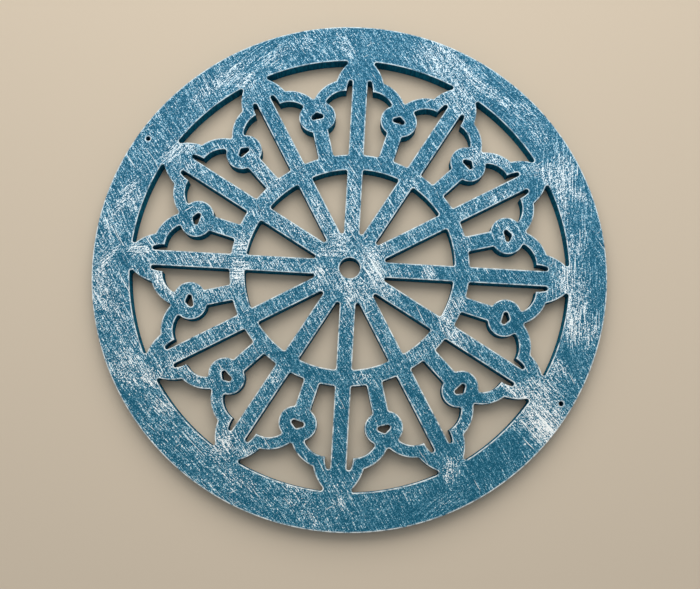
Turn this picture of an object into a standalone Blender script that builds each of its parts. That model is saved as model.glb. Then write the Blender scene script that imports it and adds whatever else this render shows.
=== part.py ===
"""Round wooden window: one board, cut right through as a twelve-part rose.

The board lies on its back, with the back face on z = 0, the front face up and a spoke along +Y.
The origin is the centre of the back face, where the window meets the wall.

Every opening is drawn in its own sector's plane, x across the sector and y outward from the hub,
as a chain of lines and arcs that runs anticlockwise, so that the opening lies on the left.
The cutter leaves each inside corner of the wood round. Points of wood stay sharp.
"""

from math import acos, atan2, ceil, cos, hypot, pi, radians, sin, sqrt, tau

import bmesh
import bpy

# Board, metres
RADIUS = 0.200
THICKNESS = 0.0127
CUTTER_RADIUS = 0.00175
CHORD_ERROR = 0.0001

# Wheel
SECTORS = 12
RIM_INNER_RADIUS = 0.1709
SPOKE_WIDTH = 0.012
HUB_HOLE_RADIUS = 0.0082

# Band that ties the spokes together. It was sawn a little oval, with its long axis on a spoke.
BAND_INNER_RADIUS = 0.0806
BAND_OUTER_RADIUS = 0.0925
BAND_INNER_SWING = 0.0019
BAND_OUTER_SWING = 0.0012
BAND_LONG_AXIS = radians(30)

# Stem on each sector's midline, with the boss that it carries
STEM_WIDTH = 0.012
BOSS_DISTANCE = 0.1258
BOSS_RADIUS = 0.0124
BOSS_SPREAD = 0.0022
PIERCING_RADIUS = 0.0019
PIERCING_HALF_WIDTH = 0.0030
PIERCING_HEIGHT = 0.0020

# Two foils on each side of the boss, as the place of each one's centre and its inner radius
FOIL_WIDTH = 0.0091
INNER_FOIL = {"centre": (0.0232, 0.1245), "radius": 0.0189}
OUTER_FOIL = {"centre": (0.0504, 0.1370), "radius": 0.0239}

# Screw holes through the rim, at the ends of one line of spokes
SCREW_HOLE_RADIUS = 0.0019
SCREW_HOLE_DISTANCE = 0.1916
SCREW_HOLE_ANGLES = (radians(150), radians(330))

HALF_SECTOR = pi / SECTORS
SHARP_EDGE_ANGLE = radians(40)


class Line:
    """Straight side of an opening, through a point in a direction."""

    def __init__(self, point, angle):
        self.point = point
        self.way = (cos(angle), sin(angle))

    def moved_in(self, gap):
        """The same side, shifted into the opening."""
        (x, y), (dx, dy) = self.point, self.way
        return Line((x - gap * dy, y + gap * dx), atan2(dy, dx))

    def foot(self, point):
        """The place on the side that is nearest to a point."""
        (x, y), (dx, dy) = self.point, self.way
        along = (point[0] - x) * dx + (point[1] - y) * dy
        return (x + along * dx, y + along * dy)

    def run(self, start, end):
        """Points between two places on the side: none, because it is straight."""
        return []


class Arc:
    """Round side of an opening. With turn 1 the opening is inside the circle, with -1 outside."""

    def __init__(self, centre, radius, turn):
        self.centre = centre
        self.radius = radius
        self.turn = turn

    def moved_in(self, gap):
        """The same side, shifted into the opening."""
        return Arc(self.centre, self.radius - self.turn * gap, self.turn)

    def foot(self, point):
        """The place on the side that is nearest to a point."""
        return self.at(self.angle_to(point))

    def angle_to(self, point):
        """Direction from the centre to a point."""
        return atan2(point[1] - self.centre[1], point[0] - self.centre[0])

    def at(self, angle):
        """The place on the circle in a direction from its centre."""
        return (self.centre[0] + self.radius * cos(angle), self.centre[1] + self.radius * sin(angle))

    def run(self, start, end):
        """Points between two places on the side, close enough for a smooth curve."""
        first = self.angle_to(start)
        sweep = (self.turn * (self.angle_to(end) - first)) % tau
        steps = ceil(sweep / chord_angle(self.radius))
        return [self.at(first + self.turn * sweep * i / steps) for i in range(1, steps)]


def chord_angle(radius):
    """Angle whose chord strays from a circle by no more than CHORD_ERROR."""
    return 2 * acos(1 - CHORD_ERROR / radius)


def circle(centre, radius):
    """Points round a whole circle."""
    steps = 4 * ceil(pi / 2 / chord_angle(radius))
    return [Arc(centre, radius, 1).at(tau * i / steps) for i in range(steps)]


def crossings(a, b):
    """Places where two sides meet, each taken as its full line or circle."""
    if isinstance(a, Arc) and isinstance(b, Arc):
        dx = b.centre[0] - a.centre[0]
        dy = b.centre[1] - a.centre[1]
        gap = hypot(dx, dy)
        along = (gap ** 2 + a.radius ** 2 - b.radius ** 2) / (2 * gap)
        reach = sqrt(a.radius ** 2 - along ** 2)
        foot = (a.centre[0] + along * dx / gap, a.centre[1] + along * dy / gap)
        way = (-dy / gap, dx / gap)
    elif isinstance(a, Line) and isinstance(b, Line):
        cross = a.way[0] * b.way[1] - a.way[1] * b.way[0]
        offset = (b.point[0] - a.point[0]) * b.way[1] - (b.point[1] - a.point[1]) * b.way[0]
        reach = 0.0
        foot = (a.point[0] + a.way[0] * offset / cross, a.point[1] + a.way[1] * offset / cross)
        way = a.way
    else:
        line, arc = (a, b) if isinstance(a, Line) else (b, a)
        foot = line.foot(arc.centre)
        away = hypot(foot[0] - arc.centre[0], foot[1] - arc.centre[1])
        reach = sqrt(arc.radius ** 2 - away ** 2)
        way = line.way
    return [(foot[0] + s * reach * way[0], foot[1] + s * reach * way[1]) for s in (-1, 1)]


def meet(a, b, near):
    """The crossing of two sides that lies nearest to a place."""
    return min(crossings(a, b), key=lambda p: hypot(p[0] - near[0], p[1] - near[1]))


def round_corner(a, b, near):
    """Points of the corner that the cutter leaves between two sides."""
    centre = meet(a.moved_in(CUTTER_RADIUS), b.moved_in(CUTTER_RADIUS), near)
    start, end = a.foot(centre), b.foot(centre)
    return [start] + Arc(centre, CUTTER_RADIUS, 1).run(start, end) + [end]


def sharp_corner(a, b, near):
    """The one point where two sides meet at a point of wood."""
    return [meet(a, b, near)]


def opening(chain):
    """Outline of an opening, from (side, corner at the side's end, rough place of that corner)."""
    following = chain[1:] + chain[:1]
    corners = [corner(a, b, near) for (a, corner, near), (b, _, _) in zip(chain, following)]
    points = []
    for (side, _, _), before, after in zip(chain, corners[-1:] + corners[:-1], corners):
        points += side.run(before[-1], after[0]) + after
    return points


def turned(points, angle):
    """Points of a sector's plane, placed in the sector whose midline lies at an angle."""
    c, s = cos(angle - pi / 2), sin(angle - pi / 2)
    return [(c * x - s * y, s * x + c * y) for x, y in points]


def mirrored(points):
    """The same outline on the other side of the sector's midline."""
    return [(-x, y) for x, y in reversed(points)]


def polar(radius, angle):
    """Place in a sector's plane at a radius, and at an angle to the right of its midline."""
    return (radius * sin(angle), radius * cos(angle))


def spoke_side(outward):
    """Side of the spoke on a sector's right, run outward or inward."""
    half = SPOKE_WIDTH / 2
    axis = pi / 2 - HALF_SECTOR
    edge = (-half * cos(HALF_SECTOR), half * sin(HALF_SECTOR))
    return Line(edge, axis if outward else axis + pi)


def band_edge(radius, swing, angle, turn, flip=1):
    """Edge of the oval band across one sector: a circle shifted across the sector's midline."""
    phase = 2 * (angle - BAND_LONG_AXIS)
    shift = flip * 2 * swing * sin(phase)
    return Arc((shift, 0.0), radius + swing * cos(phase), turn)


def inner_light(angle):
    """Opening between two spokes and the band."""
    half = SPOKE_WIDTH / 2
    right = spoke_side(outward=True)
    left = Line((-right.point[0], right.point[1]), HALF_SECTOR - pi / 2)
    band = band_edge(BAND_INNER_RADIUS, BAND_INNER_SWING, angle, turn=1)
    tip = (0.0, half / sin(HALF_SECTOR))
    return opening([
        (right, round_corner, polar(BAND_INNER_RADIUS, HALF_SECTOR)),
        (band, round_corner, polar(BAND_INNER_RADIUS, -HALF_SECTOR)),
        (left, round_corner, tip),
    ])


def foil(shape, outer=False, flip=1):
    """One edge of a foil: the inner edge, or the outer one, on the right or the left of the stem."""
    x, y = shape["centre"]
    if outer:
        return Arc((flip * x, y), shape["radius"] + FOIL_WIDTH, -1)
    return Arc((flip * x, y), shape["radius"], 1)


def lancet(angle, flip):
    """Tall opening between the stem and the spoke on its right, headed by the two foils."""
    band = band_edge(BAND_OUTER_RADIUS, BAND_OUTER_SWING, angle, turn=-1, flip=flip)
    boss = Arc((BOSS_SPREAD, BOSS_DISTANCE), BOSS_RADIUS, -1)
    stem = Line((STEM_WIDTH / 2, 0.0), -pi / 2)
    cusp = (INNER_FOIL["centre"][0], OUTER_FOIL["centre"][1])
    boss_top = (BOSS_RADIUS, BOSS_DISTANCE + BOSS_RADIUS)
    boss_foot = (BOSS_RADIUS, BOSS_DISTANCE - BOSS_RADIUS)
    return opening([
        (band, round_corner, polar(BAND_OUTER_RADIUS, HALF_SECTOR)),
        (spoke_side(outward=True), round_corner, polar(RIM_INNER_RADIUS, HALF_SECTOR)),
        (foil(OUTER_FOIL), sharp_corner, cusp),
        (foil(INNER_FOIL), round_corner, boss_top),
        (boss, round_corner, boss_foot),
        (stem, round_corner, (0.0, BAND_OUTER_RADIUS)),
    ])


def spandrel():
    """Opening between the foils of one sector and the rim."""
    rim = Arc((0.0, 0.0), RIM_INNER_RADIUS, 1)
    right_tip = polar(RIM_INNER_RADIUS, HALF_SECTOR)
    left_tip = polar(RIM_INNER_RADIUS, -HALF_SECTOR)
    across = INNER_FOIL["centre"][0]
    outward = OUTER_FOIL["centre"][1] + OUTER_FOIL["radius"]
    return opening([
        (rim, round_corner, left_tip),
        (foil(OUTER_FOIL, outer=True, flip=-1), round_corner, (-across, outward)),
        (foil(INNER_FOIL, outer=True, flip=-1), round_corner, (0.0, outward)),
        (foil(INNER_FOIL, outer=True), round_corner, (across, outward)),
        (foil(OUTER_FOIL, outer=True), round_corner, right_tip),
    ])


def piercing():
    """Small three-cornered hole in a boss, pointing at the rim."""
    right = (PIERCING_HALF_WIDTH, BOSS_DISTANCE)
    top = (0.0, BOSS_DISTANCE + PIERCING_HEIGHT)
    left = (-PIERCING_HALF_WIDTH, BOSS_DISTANCE)
    points = []
    for before, middle, after in ((left, right, top), (right, top, left), (top, left, right)):
        corner = Arc(middle, PIERCING_RADIUS, 1)
        start = corner.at(Arc(before, 0.0, 1).angle_to(middle) - pi / 2)
        end = corner.at(corner.angle_to(after) - pi / 2)
        points += [start] + corner.run(start, end) + [end]
    return points


def outlines():
    """All the closed outlines of the board: its edge and every hole through it."""
    loops = [circle((0.0, 0.0), RADIUS), circle((0.0, 0.0), HUB_HOLE_RADIUS)]
    for angle in SCREW_HOLE_ANGLES:
        place = (SCREW_HOLE_DISTANCE * cos(angle), SCREW_HOLE_DISTANCE * sin(angle))
        loops.append(circle(place, SCREW_HOLE_RADIUS))
    for sector in range(SECTORS):
        angle = (2 * sector + 1) * HALF_SECTOR
        sector_loops = [
            inner_light(angle),
            lancet(angle, flip=1),
            mirrored(lancet(angle, flip=-1)),
            spandrel(),
            piercing(),
        ]
        loops += [turned(loop, angle) for loop in sector_loops]
    return loops


def plate(loops, thickness):
    """Mesh of a flat board with holes, from outlines in the plane z = 0."""
    bm = bmesh.new()
    edges = []
    for loop in loops:
        ring = [bm.verts.new((x, y, 0.0)) for x, y in loop]
        edges += [bm.edges.new((a, b)) for a, b in zip(ring, ring[1:] + ring[:1])]
    bmesh.ops.triangle_fill(bm, edges=edges, use_beauty=True, use_dissolve=False)
    front = bmesh.ops.extrude_face_region(bm, geom=bm.faces[:])
    raised = [item for item in front["geom"] if isinstance(item, bmesh.types.BMVert)]
    bmesh.ops.translate(bm, verts=raised, vec=(0.0, 0.0, thickness))
    bmesh.ops.recalc_face_normals(bm, faces=bm.faces[:])
    mesh = bpy.data.meshes.new("rose_window")
    bm.to_mesh(mesh)
    bm.free()
    return mesh


def paint():
    """Chalky blue paint on wood."""
    material = bpy.data.materials.new("blue_paint")
    material.use_nodes = True
    shader = material.node_tree.nodes["Principled BSDF"]
    shader.inputs["Base Color"].default_value = (0.062, 0.215, 0.330, 1.0)
    shader.inputs["Roughness"].default_value = 0.6
    shader.inputs["Metallic"].default_value = 0.0
    return material


def main():
    for stale in list(bpy.data.objects):
        bpy.data.objects.remove(stale, do_unlink=True)
    mesh = plate(outlines(), THICKNESS)
    mesh.shade_smooth()
    mesh.set_sharp_from_angle(angle=SHARP_EDGE_ANGLE)
    mesh.materials.append(paint())
    window = bpy.data.objects.new("rose_window", mesh)
    bpy.context.scene.collection.objects.link(window)


main()
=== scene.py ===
"""Looks of the round wooden window: one fretted board in chalky blue paint, rubbed back to white.

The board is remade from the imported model's outlines as a finer mesh with true rounds and eased
edges. Its front carries the rubbed paint, its sawn walls a dark coat and its back a thin one.
Mesh sizes are in metres, material sizes in millimetres.
"""

from math import ceil, cos, pi, radians, sin

import bmesh
import bpy
import numpy as np
from mathutils import Matrix, Vector, bvhtree, geometry, noise


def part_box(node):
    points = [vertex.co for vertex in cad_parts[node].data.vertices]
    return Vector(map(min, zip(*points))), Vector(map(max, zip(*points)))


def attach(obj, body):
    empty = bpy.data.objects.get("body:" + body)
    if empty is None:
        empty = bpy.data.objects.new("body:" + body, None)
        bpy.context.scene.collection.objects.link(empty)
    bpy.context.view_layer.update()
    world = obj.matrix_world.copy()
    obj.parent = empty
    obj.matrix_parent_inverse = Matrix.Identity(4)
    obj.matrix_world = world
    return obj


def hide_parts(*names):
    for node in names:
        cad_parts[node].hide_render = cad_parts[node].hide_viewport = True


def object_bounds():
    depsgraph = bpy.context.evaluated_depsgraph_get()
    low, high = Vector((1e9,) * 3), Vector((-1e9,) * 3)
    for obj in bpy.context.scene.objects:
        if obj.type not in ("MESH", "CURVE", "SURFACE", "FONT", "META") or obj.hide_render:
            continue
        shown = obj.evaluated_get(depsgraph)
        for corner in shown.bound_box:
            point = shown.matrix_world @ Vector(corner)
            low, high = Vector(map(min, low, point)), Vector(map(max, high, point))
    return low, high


NODE = "rose_window"
MM = 0.001

# Mesh
WELD = 0.01 * MM             # points nearer to each other than this are one
STEP = 1.8 * MM              # longest edge along an outline
STEP_TURN = radians(14)      # and most that an outline turns in one
SHARP_TURN = radians(45)     # an outline that turns more than this at a point has a true corner
STRAIGHT_TURN = 0.00001      # and one that turns less than this, in radians, runs straight on
SAME_LENGTH = 0.02           # facets of one arc differ by less than this share of their length
# How far the surface lies back near an edge: pairs of mm from the edge and mm back
FRONT_EASE = ((0, 0.30), (0.15, 0.12), (0.4, 0.03), (0.9, 0))
BACK_EASE = ((0, 0.25), (0.15, 0.10), (0.4, 0.02), (0.9, 0))
EASE_GRAIN = 11 * MM         # an edge is eased more, then less, over this length
EASE_SWING = 0.35            # by up to this share
CLEAR_SHARE = 0.93           # a row's point is left out if the edge is nearer than this share of its distance
RAY = Vector((0.8, 0.6, 0))  # any direction on the face
INSIDE_EDGES = 1             # the triangulation's option to keep only what is inside the edges
EASE_SHARP = radians(50)     # faces of a kind that meet at less than this are shaded as one
GRID = 4.2 * MM              # spacing of the mesh away from the edges
FRONT, BACK, WALLS = range(3)  # the mesh's material slots

# Where the front is rubbed to the white, or, below 0, least: x, y, half its length and width in
# mm, the way it runs in degrees, and how far
RUBBED = (
    # upper left rim and top, and the spokes' heads there
    (-114, 146, 25, 4, 42, 0.75), (-68, 172, 18, 3, 42, 0.50), (-93, 148, 6, 5, 0, 0.80),
    (-44, 183, 6, 7, 0, 0.35), (-146, 86, 14, 5, 45, 0.60),
    (-134, 91, 7, 4, 0, 0.65), (-132, 76, 9, 4, -20, 0.35), (-14, 182, 12, 6, -60, 0.35),
    # left rim, and the spokes' heads and spokes there
    (-179, 48, 13, 3, 64, 0.95), (-189, -5, 13, 3, 62, 0.65), (-190, 20, 22, 5, 85, 0.15),
    (-180, -38, 26, 7, -65, 0.30), (-171, 44, 10, 5, 75, 0.30), (-190, -30, 22, 6, 100, 0.30),
    (-168, -93, 13, 5, -50, 0.45),
    (-166, 5, 8, 4, 5, 1.00), (-143, -19, 14, 5, -45, 0.85), (-112, 2, 26, 5, 0, 0.35),
    (-164, -84, 13, 6, -35, 0.35), (-145, -94, 6, 5, -30, 0.85), (-122, -78, 18, 6, 25, 0.40),
    # lower left rim and the spoke's head there
    (-133, -114, 8, 6, -35, 0.45), (-87, -140, 11, 8, 60, 0.80), (-67, -144, 5, 3, -20, 0.70),
    (-72, -167, 13, 5, -25, 0.35),
    # bottom rim and the spokes' heads there
    (0, -169, 8, 5, 0, 0.25), (2, -178, 4, 4, 0, 0.60), (-24, -182, 20, 7, -50, 0.25),
    (-30, -167, 14, 4, -15, 0.30), (84, -150, 9, 5, 90, 0.65), (84, -172, 20, 4, 25, 0.30),
    (46, -170, 10, 5, 20, 0.20),
    # lower right rim and the spoke's head there
    (147, -106, 10, 7, -45, 1.55), (155, -115, 9, 6, -10, 1.60), (163, -106, 7, 4, -60, 1.20),
    (147, -92, 14, 12, 0, 0.80), (128, -86, 18, 4, -25, 0.90), (156, -74, 9, 8, 0, 0.35),
    (151, -123, 7, 4, -45, 0.60), (163, -67, 7, 4, -35, 0.75), (133, -113, 7, 4, 40, 0.40),
    # right rim and the spokes' heads there
    (164, 83, 15, 4, 90, 1.35), (157, 86, 12, 3, 90, 0.45), (171, 86, 11, 3, 90, 0.45),
    (153, 81, 7, 3, 90, 1.05), (145, 88, 8, 7, 0, 0.40), (165, 58, 16, 3, 103, 0.70),
    (178, 68, 8, 3, -35, 1.00), (172, 26, 10, 3, 92, 0.60), (183, 36, 10, 5, 90, 0.20),
    (168, 2, 12, 4, 90, 1.15), (161, -5, 10, 4, 90, 0.25), (174, -26, 17, 5, 84, 1.15),
    (181, -37, 11, 8, 80, 0.55), (152, -12, 6, 4, -45, 0.40), (190, -40, 7, 4, 60, 0.50),
    (180, -8, 16, 7, 90, 0.45), (177, 25, 6, 6, 0, 0.35),
    # upper right rim and the spoke's head there
    (60, 175, 18, 11, -30, 0.70), (70, 167, 9, 4, -25, 0.35), (75, 176, 15, 4, -45, 0.90),
    (102, 153, 24, 4, -38, 0.55), (132, 138, 11, 6, -40, 0.30), (73, 188, 4, 3, 0, 0.80),
    (80, 148, 12, 11, 0, 0.55), (86, 134, 8, 8, 0, 0.35), (66, 143, 9, 5, 20, 0.30),
    # arches, bosses and spokes on the right, and one more place on the rim above them
    (108, 96, 13, 5, -18, 0.65), (93, 95, 7, 11, 0, 0.40), (114, 63, 14, 5, 30, 0.40),
    (88, 50, 8, 5, 30, 0.30), (48, 28, 10, 5, 30, 0.25), (118, 33, 9, 9, 0, 0.25),
    (134, 32, 18, 5, -40, 0.20), (146, 116, 12, 6, -55, 0.35),
    # band and spokes, and a few places between the spokes
    (-76, 76, 14, 4, -48, 0.30), (-80, 90, 3, 3, 0, 0.80), (-84, 15, 6, 6, 0, 1.15),
    (-88, -1, 6, 4, 0, 0.30), (-85, -11, 6, 6, 0, 1.60), (-101, -24, 12, 5, 15, 0.30),
    (-70, 62, 12, 6, -35, 0.25), (-90, -52, 8, 5, 30, 0.30), (-44, 78, 14, 5, -60, 0.20),
    (-25, 41, 14, 5, -60, 0.50), (-46, 28, 22, 6, -31, 0.40), (-56, -1, 18, 4, 0, 0.30),
    (-20, -36, 14, 5, 60, 0.30), (0, -39, 5, 8, 0, 0.35), (-52, -88, 9, 5, 60, 0.30),
    (-114, -90, 8, 4, -20, 0.40),
    (57, -64, 9, 5, 35, 0.25), (13, -84, 6, 4, 0, 0.50), (44, 68, 12, 5, 60, 0.35),
    (62, -1, 7, 4, -60, 0.85), (88, 26, 6, 7, 0, 0.40), (81, -27, 10, 6, 60, 1.15),
    (80, -44, 13, 4, -58, 1.15), (94, -52, 10, 5, -30, 0.30), (67, -54, 9, 5, -30, 0.45),
    (0, 62, 18, 5, 90, 0.35), (88, -116, 6, 5, 0, 0.35), (-58, 66, 6, 5, 0, 0.25),
    # hub and the spokes beside it
    (-16, 11, 12, 3, 0, 0.75), (-8, 14, 4, 4, 0, 0.70), (-12, 22, 11, 6, 0, 0.65),
    (-24, -4, 5, 3, 0, 1.20), (-13, -4, 8, 3, 0, 0.35), (18, 2, 13, 6, -62, 1.05),
    (27, -16, 12, 5, -52, 0.65), (3, -24, 4, 5, 0, 1.35), (2, -13, 17, 7, 0, 0.55),
    (24, -46, 14, 4, -60, 0.25), (0, 37, 8, 5, 90, 0.55), (28, 41, 15, 5, 60, 0.35),
    (13, -25, 8, 5, -50, 0.40), (24, 16, 7, 5, 30, 0.80), (-26, -14, 7, 4, 30, 0.40), (40, -2, 8, 4, 0, 0.30),
    # and where the blue is most whole
    (10, 150, 9, 14, 0, -0.35), (30, 118, 9, 16, 0, -0.15), (-152, 116, 16, 9, 45, -0.20),
    (-182, 80, 9, 8, 65, -0.45), (-156, 76, 8, 6, 65, -0.25), (-92, 118, 6, 10, 0, -0.30),
    (-72, 126, 13, 5, -60, -0.40), (-82, 181, 11, 6, 25, -0.30), (34, 194, 12, 4, -10, -0.25),
    (-175, -1, 8, 6, 0, -0.40), (-124, -145, 14, 6, -45, -0.25), (-88, -95, 8, 6, 0, -0.30),
    (-30, -128, 11, 16, 0, -0.30), (-54, -134, 9, 5, 10, -0.40), (-138, -48, 5, 9, 0, -0.30),
    (-117, 91, 7, 5, 0, -0.35), (-34, -76, 16, 9, -20, -0.35),
    (0, -132, 7, 24, 0, -0.45), (0, -66, 5, 8, 0, -0.30), (26, -98, 7, 9, 0, -0.40), (86, -9, 8, 9, 0, -0.25),
    (76, -128, 10, 6, -60, -0.30), (50, -185, 26, 6, 20, -0.25), (116, -146, 34, 10, 45, -0.25),
    (87, -87, 17, 15, 0, -0.35), (128, -38, 20, 18, 0, -0.40), (190, 24, 26, 6, 90, -0.10),
    (-156, -118, 20, 6, -48, -0.35),
)

# Which way the front is rubbed, in degrees: everywhere the first way, but for these places, laid
# out as above
SWEEP = -57
SWEEPS = (
    ("swept_upright", 91, ((166, 70, 48, 22, 90, 1.5), (174, -20, 36, 22, 90, 1.5),
                           (84, -152, 10, 9, 90, 1.0))),
    ("swept_level", -42, ((-125, -140, 60, 24, -45, 1.5), (-40, -175, 30, 16, 0, 0.8),
                          (150, -104, 30, 26, 0, 1.5), (110, 152, 45, 16, -40, 1.2))),
    ("swept_rising", 42, ((-86, 165, 40, 16, 42, 0.9), (-146, 84, 14, 7, 45, 1.0),
                          (-188, 0, 14, 6, 60, 1.0), (-179, 48, 14, 5, 60, 1.2), (78, -175, 30, 8, 20, 0.9))),
    ("swept_across", 2, ((-18, 16, 18, 12, 0, 0.8), (-85, 0, 10, 24, 0, 0.8), (-166, 5, 12, 5, 0, 0.8))),
)

# Colours of the front, from where the blue is whole to where it is rubbed through
RUBBED_PAINT = (
    (0.08, (0.004, 0.080, 0.145)), (0.22, (0.014, 0.130, 0.217)), (0.35, (0.045, 0.202, 0.312)),
    (0.45, (0.096, 0.276, 0.398)), (0.53, (0.165, 0.360, 0.486)), (0.60, (0.260, 0.475, 0.597)),
    (0.68, (0.410, 0.632, 0.738)), (0.76, (0.635, 0.820, 0.885)), (0.84, (0.870, 0.920, 0.940)),
)

WHITE = (0.84, 0.92, 0.94)   # the undercoat
CHALKY = (0.6, 0.1)          # roughness and specular level, as in DULL and each sheen below

# Grains of the front: a size in mm and a seed
TONE = (30, 53)              # broad stretches of lighter and darker paint
GRIT = (0.62, 41)
BARE_PLACES = (18, 5)        # where scratches and chips gather
CHIPS = (2.2, 83)
EDGE_GAPS = (4, 71)          # where the white line along an edge breaks off

# Strokes of the front: length and width in mm and a seed
PATCHES = (14, 5, 19)        # wear that comes and goes along the way it was rubbed
LINES = (18, 0.75, 11)
DASHES = (3.2, 0.62, 43)
SCRATCHES = (30, 1.1, 61)
CROSS_SCRATCHES = (16, 1.1, 67)
CROSS_WAY = 35               # degrees
WANDER = 10.0                # a stroke strays by at most half of this from straight, mm
WANDER_WAVES = 0.015         # and swings this many times in each mm

# How the grain is made up, and about what that comes to on average
GRIT_SHARE, DASHES_SHARE, LINES_SHARE = 0.68, 0.52, 0.13
GRAIN_MIDDLE = 0.635

# How far the placed wear follows the patches or stays even, and what patches add to it alone
WEAR_PATCHY, WEAR_EVEN = 0.8, 0.6
PATCH_WEAR, PATCH_MIDDLE = 0.14, 0.07

# How strong the grain is: at least, and more by wear that begins, by wear that is nearly through
# (each from one amount of wear to another, and how much more), and by this share on the left
GAIN_LEAST = 1.95
GAIN_WORN = (-0.1, 0.6, 2.4)
GAIN_RUBBED_THROUGH = (0.65, 1.4, 0.8)
GAIN_LEFT = 0.30

# How light the paint is to start with, and more by wear, by tone and by painted light: each mm further up is
# painted lighter, for light that falls off towards the bottom
LIGHT_START = 0.110
LIGHT_WORN = 0.26
LIGHT_TONE = 0.20
PAINTED_LIGHT_UPWARD = 0.00015

# What brings out scratches and chips, and how white they and the line along an edge are
BARED_WORN, BARED_LEFT, BARED_PLACE, BARED_MIDDLE = 0.06, 0.02, 0.3, 0.15
SCRATCH_WHITE = 0.85
EDGE_WHITE = 0.8

# A value counts for nothing at the first number and in full at the second
SWEEP_TAKES_OVER = (0.25, 0.6)
LINES_SHOW = (0.48, 0.64)
SCRATCHES_SHOW = (0.73, 0.76)  # and chips
CROSS_SCRATCHES_SHOW = (0.77, 0.80)
EDGE_LINE = (1.2, 0.3)       # mm from the edge
EDGE_LINE_SHOWS = (0.25, 0.65)
LEFTWARD = (60, -150)        # mm across the board
UPWARD = (-180, 180)         # mm up the board

# Painted light on the front: a tint at its bottom, warmer, and at its top, cooler, for light that falls off
# towards the bottom
LOWER_PAINTED_LIGHT_TINT = (1.06, 1.0, 0.95)
UPPER_PAINTED_LIGHT_TINT = (0.92, 1.0, 1.05)

# Sawn walls
SAW_MARKS = ((1.4, 1.4, 9), 13)  # size in mm along x, y and z, and a seed
SAW_MARKS_SHOW = (0.35, 0.7)
WALL_DARK = (0.0004, 0.085, 0.150)
WALL_LIGHT = (0.004, 0.165, 0.270)
WALL_WORN = (0.25, 0.50, 0.60)
WALL_WORN_SHARE = 0.5
WALL_WEAR_DEPTH = (2.2, 0.3)     # mm below the front where wear begins and where it is full
WALL_WEAR = (2.2, 23)
WALL_WEAR_SHOWS = (0.5, 0.7)
DULL = (0.9, 0.05)

# Colours of the back, from where the one coat is thick to where it is thin
THIN_PAINT = ((0.36, (0.012, 0.105, 0.170)), (0.50, (0.040, 0.175, 0.260)), (0.66, (0.110, 0.260, 0.340)))
BACK_SHEEN = (0.7, 0.1)
BRUSHING = (88, 90, 1.3, 5)  # way in degrees, length and width in mm, and a seed
WOOD_GRAIN = (90, 160, 8, 9)
BACK_GRIT = (1.2, 41)
BRUSHING_SHARE, WOOD_GRAIN_SHARE, BACK_GRIT_SHARE = 0.5, 0.3, 0.2

# Relief: its strength, and its depth on each surface in mm
RELIEF_STRENGTH = 0.6
FRONT_RELIEF = 0.25
WALL_RELIEF = 0.6
BACK_RELIEF = 0.4

# Layout for baking, as shares of the picture
LAYOUT = "OFBake"
LAYOUT_FRONT = 0.89
LAYOUT_BACK = 0.27
LAYOUT_WALL = 1.5 * MM       # a wall's height on the front's layout

# Stage, metres
CAMERA_PLACE = (0.0047, -0.1411, 0.7085)
CAMERA_TARGET = (0.0014, -0.0209, 0.0127)
CAMERA_ROLL = radians(1.63)
LENS = 46.99
FLOOR_GAP = 0.4 * MM
FLOOR_REACH = 4              # from its middle to each side
FLOOR_COLOUR = (0.541, 0.463, 0.361, 1)
FLOOR_SHEEN = (0.9, 0.5)
DAYLIGHT = (0.93, 0.96, 1.0, 1)
DAYLIGHT_STRENGTH = 0.342
LAMPLIGHT = (1.0, 0.97, 0.93)
LIGHTS = (                   # name, size, watts, place
    ("window_light", (1.6, 1.1), 12.0, (-0.05, 0.75, 0.85)),
    ("ceiling_light", (1.4, 1.4), 8.0, (0.0, 0.4, 1.30)),
)
LIGHTS_TARGET = (0, 0, 0)


def front_outlines(node):
    """Outlines of the CAD board's front face, each an array of points with the wood on its left."""
    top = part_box(NODE)[1].z
    bm = bmesh.new()
    bm.from_mesh(node.data)
    bmesh.ops.remove_doubles(bm, verts=bm.verts[:], dist=WELD)
    front = {f for f in bm.faces if min(v.co.z for v in f.verts) > top - WELD}
    following = {}
    for face in bm.faces:
        for loop in face.loops:
            if face in front and sum(f in front for f in loop.edge.link_faces) == 1:
                following[loop.vert] = loop.link_loop_next.vert
    outlines = []
    while following:
        first, vert = following.popitem()
        ring = [first]
        while vert is not first:
            ring.append(vert)
            vert = following.pop(vert)
        outlines.append(np.array([v.co.xy for v in ring]))
    bm.free()
    return outlines


def rounded(outline):
    """The outline with its arcs' facets bent back to true arcs, and cut into short steps."""
    chord = np.roll(outline, -1, 0) - outline
    length = np.linalg.norm(chord, axis=1)
    heading = np.arctan2(chord[:, 1], chord[:, 0])
    turn = (heading - np.roll(heading, 1) + pi) % (2 * pi) - pi
    like_last = (abs(length / np.roll(length, 1) - 1) < SAME_LENGTH) & (abs(turn) < SHARP_TURN)
    points = []
    for i, start in enumerate(outline):
        after = (i + 1) % len(outline)
        bend = turn[i] if like_last[i] else turn[after] if like_last[after] else 0.0
        steps = ceil(max(length[i] / STEP, abs(bend) / STEP_TURN))
        along = chord[i] / length[i]
        left = np.array((-along[1], along[0]))
        for share in np.arange(steps) / steps:
            if abs(bend) < STRAIGHT_TURN:
                points.append(start + share * chord[i])
                continue
            radius = length[i] / 2 / sin(bend / 2)
            angle = (share - 0.5) * bend
            points.append(start + along * (length[i] / 2 + radius * sin(angle))
                          - left * radius * (cos(angle) - cos(bend / 2)))
    return np.array(points)


def fence(outlines):
    """Upright strips along the outlines, to measure how far a point is from the nearest one."""
    verts, quads = [], []
    for points in outlines:
        first, count = len(verts), 2 * len(points)
        verts += [(x, y, z) for x, y in points for z in (-1, 1)]
        quads += [[first + (2 * i + k) % count for k in (0, 2, 3, 1)] for i in range(len(points))]
    return bvhtree.BVHTree.FromPolygons(verts, quads)


def on_wood(point, strips):
    """Whether the first strip that a ray from the point meets is met from its wood side."""
    _, normal, _, _ = strips.ray_cast((*point, 0), RAY)
    return normal is not None and normal.dot(RAY) > 0


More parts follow.
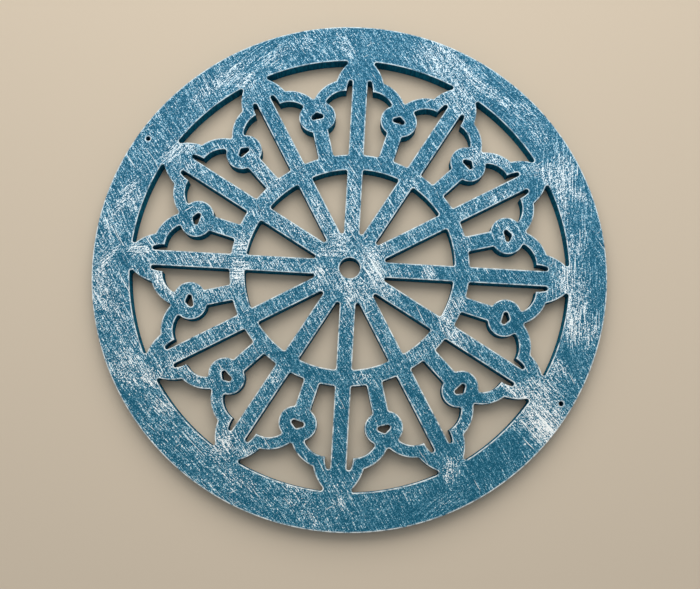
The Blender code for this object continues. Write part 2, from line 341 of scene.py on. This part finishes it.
def inner_rows(outlines, strips):
    """Points in the wood beside the outlines, in rows at the distances where an edge is eased."""
    rows = []
    for points in outlines:
        chord = np.roll(points, -1, 0) - np.roll(points, 1, 0)
        left = np.stack((-chord[:, 1], chord[:, 0]), 1) / np.linalg.norm(chord, axis=1)[:, None]
        for distance, _ in FRONT_EASE[1:]:
            for x, y in points + left * distance * MM:
                if strips.find_nearest((x, y, 0))[3] > CLEAR_SHARE * distance * MM:
                    rows.append((x, y))
    return rows


def grid_points(strips):
    """Points spread over the middle of the wood, on a grid of equal triangles."""
    low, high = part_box(NODE)
    clear = FRONT_EASE[-1][0] * MM + GRID / 2
    points = []
    for row, y in enumerate(np.arange(low.y, high.y, GRID * sin(pi / 3))):
        for x in np.arange(low.x + row % 2 * GRID / 2, high.x, GRID):
            if strips.find_nearest((x, y, 0))[3] > clear and on_wood((x, y), strips):
                points.append((x, y))
    return points


def eased(distance, profile):
    """How far the surface lies back, at this distance from the edge."""
    return MM * np.interp(distance / MM, *np.transpose(profile))


def board(node):
    """The board as one closed mesh that knows, at each point, how near the edge is and the wear."""
    low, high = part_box(NODE)
    outlines = [rounded(o) for o in front_outlines(node)]
    strips = fence(outlines)
    flat = [tuple(p) for o in outlines for p in o]
    edges, first = [], 0
    for points in outlines:
        edges += [(first + i, first + (i + 1) % len(points)) for i in range(len(points))]
        first += len(points)
    flat += inner_rows(outlines, strips) + grid_points(strips)
    flat, _, front, _, _, _ = geometry.delaunay_2d_cdt(
        [Vector(p) for p in flat], edges, [], INSIDE_EDGES, WELD / 10)
    front = [f for f in front if on_wood(sum((flat[v] for v in f), Vector((0, 0))) / 3, strips)]

    flat = np.array([tuple(p) for p in flat])
    count = len(flat)
    distance = np.array([strips.find_nearest((x, y, 0))[3] for x, y in flat])
    grain = [noise.noise((x / EASE_GRAIN, y / EASE_GRAIN, 0)) for x, y in flat]
    worn_distance = distance / (1 + EASE_SWING * np.array(grain))
    verts = [(x, y, z) for (x, y), z in zip(flat, high.z - eased(worn_distance, FRONT_EASE))]
    verts += [(x, y, z) for (x, y), z in zip(flat, low.z + eased(worn_distance, BACK_EASE))]
    back = [[count + v for v in reversed(face)] for face in front]
    sides = {(face[k - 1], face[k]) for face in front for k in range(3)}
    rim = sorted(side for side in sides if side[::-1] not in sides)
    walls = [(b, a, count + a, count + b) for a, b in rim]

    mesh = bpy.data.meshes.new("round_window_board")
    mesh.from_pydata(verts, [], list(front) + back + walls)
    mesh.polygons.foreach_set(
        "material_index", [FRONT] * len(front) + [BACK] * len(back) + [WALLS] * len(walls))
    mesh.shade_smooth()
    mesh.set_sharp_from_angle(angle=EASE_SHARP)
    sharpen(mesh, {tuple(sorted(side)) for side in rim}, count)
    known = [("edge_distance", distance / MM), ("rubbed", spread(flat, RUBBED))]
    known += [(name, spread(flat, places)) for name, _, places in SWEEPS]
    for name, values in known:
        attribute = mesh.attributes.new(name, "FLOAT", "POINT")
        attribute.data.foreach_set("value", np.tile(values, 2).astype(np.float32))
    lay_out(mesh, flat, rim)
    return bpy.data.objects.new("round_window_board", mesh)


def sharpen(mesh, rim, count):
    """Marks the arrises, where the walls meet the front and the back, as sharp."""
    ends = np.empty(2 * len(mesh.edges), int)
    mesh.edges.foreach_get("vertices", ends)
    sharp = mesh.attributes["sharp_edge"].data
    for number, (a, b) in enumerate(np.sort(ends.reshape(-1, 2), axis=1).tolist()):
        if (a, b) in rim or (a - count, b - count) in rim:
            sharp[number].value = True


def spread(flat, places):
    """The sum at each point of soft-edged ovals: x, y, half length and width, angle, strength."""
    total = np.zeros(len(flat))
    for x, y, along, across, angle, strength in places:
        turn = radians(angle)
        offset = flat / MM - (x, y)
        ahead = offset @ (cos(turn), sin(turn)) / along
        aside = offset @ (-sin(turn), cos(turn)) / across
        total += strength * np.exp(-(ahead ** 2 + aside ** 2))
    return total


def lay_out(mesh, flat, rim):
    """A flat layout of the board: its front large, walls folded out beside it, its back small."""
    count = len(flat)
    outward = np.zeros((count, 2))
    for a, b in rim:
        along = flat[b] - flat[a]
        outward[[a, b]] += np.array((along[1], -along[0])) / np.linalg.norm(along)
    outward /= np.maximum(np.linalg.norm(outward, axis=1), 1)[:, None]
    radius = abs(flat).max()
    room = radius + LAYOUT_WALL
    front = (flat + room) / (2 * room) * LAYOUT_FRONT
    folded = (flat + outward * LAYOUT_WALL + room) / (2 * room) * LAYOUT_FRONT
    back = 1 - (flat + room) / (2 * room) * LAYOUT_BACK

    corners = np.empty(len(mesh.loops), int)
    mesh.loops.foreach_get("vertex_index", corners)
    sheet = np.empty(len(mesh.polygons), int)
    mesh.polygons.foreach_get("material_index", sheet)
    sides = np.empty(len(mesh.polygons), int)
    mesh.polygons.foreach_get("loop_total", sides)
    sheet = np.repeat(sheet, sides)
    below = corners >= count
    corners[below] -= count
    places = np.where((sheet == BACK)[:, None], back[corners], front[corners])
    places = np.where(((sheet == WALLS) & below)[:, None], folded[corners], places)
    mesh.uv_layers.new(name=LAYOUT).uv.foreach_set("vector", places.astype(np.float32).ravel())


class Finish:
    """A material in the making. Its methods add nodes, and those that make a value return it."""

    def __init__(self, name):
        self.material = bpy.data.materials.new(name)
        self.material.use_nodes = True
        self.tree = self.material.node_tree
        self.shader = self.tree.nodes["Principled BSDF"]
        metres = self.node("TexCoord", {}, "Object")
        self.place = self.node("VectorMath", {0: metres, "Scale": 1 / MM}, operation="SCALE")

    def node(self, kind, inputs, output=0, **settings):
        node = self.tree.nodes.new("ShaderNode" + kind)
        for name, value in settings.items():
            setattr(node, name, value)
        for name, value in inputs.items():
            self.join(value, node.inputs[name])
        return node.outputs[output]

    def join(self, value, socket):
        if isinstance(value, bpy.types.NodeSocket):
            self.tree.links.new(value, socket)
        else:
            socket.default_value = value

    def sum(self, *values):
        total = values[0]
        for value in values[1:]:
            total = self.node("Math", {0: total, 1: value}, operation="ADD")
        return total

    def product(self, *values):
        total = values[0]
        for value in values[1:]:
            total = self.node("Math", {0: total, 1: value}, operation="MULTIPLY")
        return total

    def largest(self, *values):
        total = values[0]
        for value in values[1:]:
            total = self.node("Math", {0: total, 1: value}, operation="MAXIMUM")
        return total

    def mixed(self, share, first, second):
        return self.node("Mix", {0: share, 2: first, 3: second})

    def rise(self, value, low, high, top=1.0):
        """0 up to low, rising smoothly to top at high; the other way round if low is higher."""
        ends = {"Value": value, "From Min": low, "From Max": high, "To Max": top}
        return self.node("MapRange", ends, interpolation_type="SMOOTHSTEP")

    def blend(self, share, first, second):
        inputs = {0: share, 6: (*first, 1) if isinstance(first, tuple) else first,
                  7: (*second, 1) if isinstance(second, tuple) else second}
        return self.node("Mix", inputs, 2, data_type="RGBA")

    def ramp(self, value, stops):
        """A run of colours, each a place on the run and a colour."""
        colour = self.node("ValToRGB", {"Fac": value})
        elements = colour.node.color_ramp.elements
        for number, (place, stop) in enumerate(stops):
            element = elements[number] if number < len(elements) else elements.new(place)
            element.position = place
            element.color = (*stop, 1)
        return colour

    def cloud(self, size, seed, detail=2.0):
        """Noise with grains of this size: one number, or three for x, y and z."""
        size = size if isinstance(size, tuple) else (size,) * 3
        at = self.node("Mapping", {"Vector": self.place, "Location": (seed, 2 * seed, seed),
                                   "Scale": size}, vector_type="TEXTURE")
        return self.node("TexNoise", {"Vector": at, "Scale": 1.0, "Detail": detail})

    def strokes(self, angle, length, width, seed, at=None):
        """Streaks that run at this angle on the face of the board, in degrees."""
        at = self.node("Mapping", {"Vector": at or self.place, "Location": (seed, 2 * seed, 0),
                                   "Rotation": (0, 0, radians(angle)),
                                   "Scale": (length, width, length)}, vector_type="TEXTURE")
        return self.node("TexNoise", {"Vector": at, "Scale": 1.0, "Detail": 1.5})

    def relief(self, height, depth):
        """Gives the surface this relief, with a depth in mm."""
        bump = self.node("Bump", {"Height": height, "Strength": RELIEF_STRENGTH, "Distance": depth * MM})
        self.join(bump, self.shader.inputs["Normal"])

    def colour(self, colour):
        self.join(colour, self.shader.inputs["Base Color"])

    def sheen(self, roughness, specular):
        self.shader.inputs["Roughness"].default_value = roughness
        self.shader.inputs["Specular IOR Level"].default_value = specular


def front_paint():
    """Blue paint over white, rubbed back in short strokes and worn off along the edges, with painted light:
    paler and cooler towards the top, warmer towards the bottom.
    """
    f = Finish("rubbed_blue_paint")
    drift = f.node("TexNoise", {"Vector": f.place, "Scale": WANDER_WAVES, "Detail": 1.0}, "Color")
    drift = f.node("VectorMath", {0: drift, 1: (0.5, 0.5, 0.5)}, operation="SUBTRACT")
    drift = f.node("VectorMath", {0: drift, "Scale": WANDER}, operation="SCALE")
    bent = f.node("VectorMath", {0: f.place, 1: drift}, operation="ADD")
    distance = f.node("Attribute", {}, "Fac", attribute_name="edge_distance")
    rubbed = f.node("Attribute", {}, "Fac", attribute_name="rubbed")
    x = f.node("SeparateXYZ", {0: f.place}, "X")
    y = f.node("SeparateXYZ", {0: f.place}, "Y")
    shares = [(angle, f.rise(f.node("Attribute", {}, "Fac", attribute_name=name), *SWEEP_TAKES_OVER))
              for name, angle, _ in SWEEPS]

    def swept(length, width, seed):
        """Strokes that run, at each place, the way the front is rubbed there."""
        value = f.strokes(SWEEP, length, width, seed, bent)
        for angle, share in shares:
            value = f.mixed(share, value, f.strokes(angle, length, width, seed + angle, bent))
        return value

    # The placed wear, made patchy
    patches = swept(*PATCHES)
    rubbed = f.sum(f.product(rubbed, f.sum(f.product(patches, WEAR_PATCHY), WEAR_EVEN)),
                   f.product(patches, PATCH_WEAR), -PATCH_MIDDLE)

    # The grain, light and dark about 0
    lines = f.rise(swept(*LINES), *LINES_SHOW)
    grain = f.sum(f.product(f.cloud(*GRIT, detail=0.0), GRIT_SHARE), f.product(swept(*DASHES), DASHES_SHARE),
                  f.product(lines, LINES_SHARE), -GRAIN_MIDDLE)

    # Wear makes the grain stronger and the paint lighter, and painted light makes the paint lighter further
    # up
    left = f.rise(x, *LEFTWARD)
    gain = f.product(f.sum(f.rise(rubbed, *GAIN_WORN), f.rise(rubbed, *GAIN_RUBBED_THROUGH), GAIN_LEAST),
                     f.sum(f.product(left, GAIN_LEFT), 1.0))
    # light also carries painted light: the paint is painted lighter further up the board
    light = f.sum(f.product(rubbed, LIGHT_WORN), f.product(f.cloud(*TONE), LIGHT_TONE),
                  f.product(y, PAINTED_LIGHT_UPWARD), LIGHT_START)
    paint = f.ramp(f.sum(f.product(grain, gain), light), RUBBED_PAINT)

    # White in scratches, chips and a broken line along each edge
    bared = f.sum(f.product(rubbed, BARED_WORN), f.product(left, BARED_LEFT),
                  f.product(f.cloud(*BARE_PLACES), BARED_PLACE), -BARED_MIDDLE)
    crossing = f.strokes(CROSS_WAY, *CROSS_SCRATCHES, bent)
    scratches = f.largest(f.rise(f.sum(swept(*SCRATCHES), bared), *SCRATCHES_SHOW),
                          f.rise(f.sum(crossing, bared), *CROSS_SCRATCHES_SHOW))
    chips = f.rise(f.sum(f.cloud(*CHIPS), bared), *SCRATCHES_SHOW)
    line = f.product(f.rise(distance, *EDGE_LINE), f.rise(f.cloud(*EDGE_GAPS), *EDGE_LINE_SHOWS),
                     EDGE_WHITE)
    bare = f.largest(f.product(f.largest(scratches, chips), SCRATCH_WHITE), line)
    paint = f.blend(bare, paint, WHITE)

    # Painted light: the front tinted warmer towards the bottom and cooler towards the top
    painted_light_tint = f.blend(f.rise(y, *UPWARD), LOWER_PAINTED_LIGHT_TINT, UPPER_PAINTED_LIGHT_TINT)
    f.colour(f.node("Mix", {0: 1.0, 6: paint, 7: painted_light_tint}, 2, data_type="RGBA", blend_type="MULTIPLY"))
    f.relief(grain, FRONT_RELIEF)
    f.sheen(*CHALKY)
    return f.material


def sawn_paint():
    """A dark coat over the saw marks of the walls, worn a little below the front's arris."""
    f = Finish("sawn_edge_paint")
    marks = f.cloud(*SAW_MARKS)
    height = f.node("SeparateXYZ", {0: f.place}, "Z")
    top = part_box(NODE)[1].z / MM
    near_top = f.rise(height, *(top - depth for depth in WALL_WEAR_DEPTH))
    worn = f.product(near_top, f.rise(f.cloud(*WALL_WEAR), *WALL_WEAR_SHOWS))
    coat = f.blend(f.rise(marks, *SAW_MARKS_SHOW), WALL_DARK, WALL_LIGHT)
    f.colour(f.blend(f.product(worn, WALL_WORN_SHARE), coat, WALL_WORN))
    f.relief(marks, WALL_RELIEF)
    f.sheen(*DULL)
    return f.material


def back_paint():
    """One thin coat on the back, brushed along the wood's grain, which shows through."""
    f = Finish("thin_back_paint")
    grain = f.sum(f.product(f.strokes(*BRUSHING), BRUSHING_SHARE),
                  f.product(f.strokes(*WOOD_GRAIN), WOOD_GRAIN_SHARE),
                  f.product(f.cloud(*BACK_GRIT), BACK_GRIT_SHARE))
    f.colour(f.ramp(grain, THIN_PAINT))
    f.relief(grain, BACK_RELIEF)
    f.sheen(*BACK_SHEEN)
    return f.material


def floor():
    """The plain pale floor that the board lies on."""
    bm = bmesh.new()
    bmesh.ops.create_grid(bm, x_segments=1, y_segments=1, size=FLOOR_REACH)
    mesh = bpy.data.meshes.new("floor")
    bm.to_mesh(mesh)
    bm.free()
    f = Finish("pale_floor")
    f.colour(FLOOR_COLOUR)
    f.sheen(*FLOOR_SHEEN)
    mesh.materials.append(f.material)
    return bpy.data.objects.new("floor", mesh)


def aimed(obj, place, target, roll=0.0):
    """Puts a camera or light at a place, turned towards its target."""
    facing = (Vector(target) - Vector(place)).to_track_quat("-Z", "Y")
    obj.matrix_world = (Matrix.Translation(place) @ facing.to_matrix().to_4x4()
                        @ Matrix.Rotation(roll, 4, "Z"))
    bpy.context.scene.collection.objects.link(obj)


def camera():
    data = bpy.data.cameras.new("camera")
    data.lens = LENS
    obj = bpy.data.objects.new("camera", data)
    aimed(obj, CAMERA_PLACE, CAMERA_TARGET, CAMERA_ROLL)
    bpy.context.scene.camera = obj


def lights():
    world = bpy.data.worlds.new("studio")
    world.use_nodes = True
    background = world.node_tree.nodes["Background"]
    background.inputs["Color"].default_value = DAYLIGHT
    background.inputs["Strength"].default_value = DAYLIGHT_STRENGTH
    bpy.context.scene.world = world
    for name, size, power, place in LIGHTS:
        data = bpy.data.lights.new(name, "AREA")
        data.shape = "RECTANGLE"
        data.size, data.size_y = size
        data.energy = power
        data.color = LAMPLIGHT
        aimed(bpy.data.objects.new(name, data), place, LIGHTS_TARGET)
    bpy.context.scene.view_settings.view_transform = "Standard"


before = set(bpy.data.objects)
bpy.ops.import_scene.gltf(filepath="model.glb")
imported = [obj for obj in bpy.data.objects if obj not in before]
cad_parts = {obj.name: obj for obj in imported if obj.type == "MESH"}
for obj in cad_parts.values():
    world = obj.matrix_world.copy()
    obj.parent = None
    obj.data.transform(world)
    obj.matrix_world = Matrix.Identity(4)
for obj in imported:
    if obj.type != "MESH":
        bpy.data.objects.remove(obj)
cad_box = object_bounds()
camera()
lights()

window = board(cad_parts[NODE])
for material in (front_paint(), back_paint(), sawn_paint()):
    window.data.materials.append(material)
bpy.context.scene.collection.objects.link(window)
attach(window, "root")
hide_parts(NODE)

ground = floor()
ground.location.z = cad_box[0][2] - FLOOR_GAP
bpy.context.scene.collection.objects.link(ground)
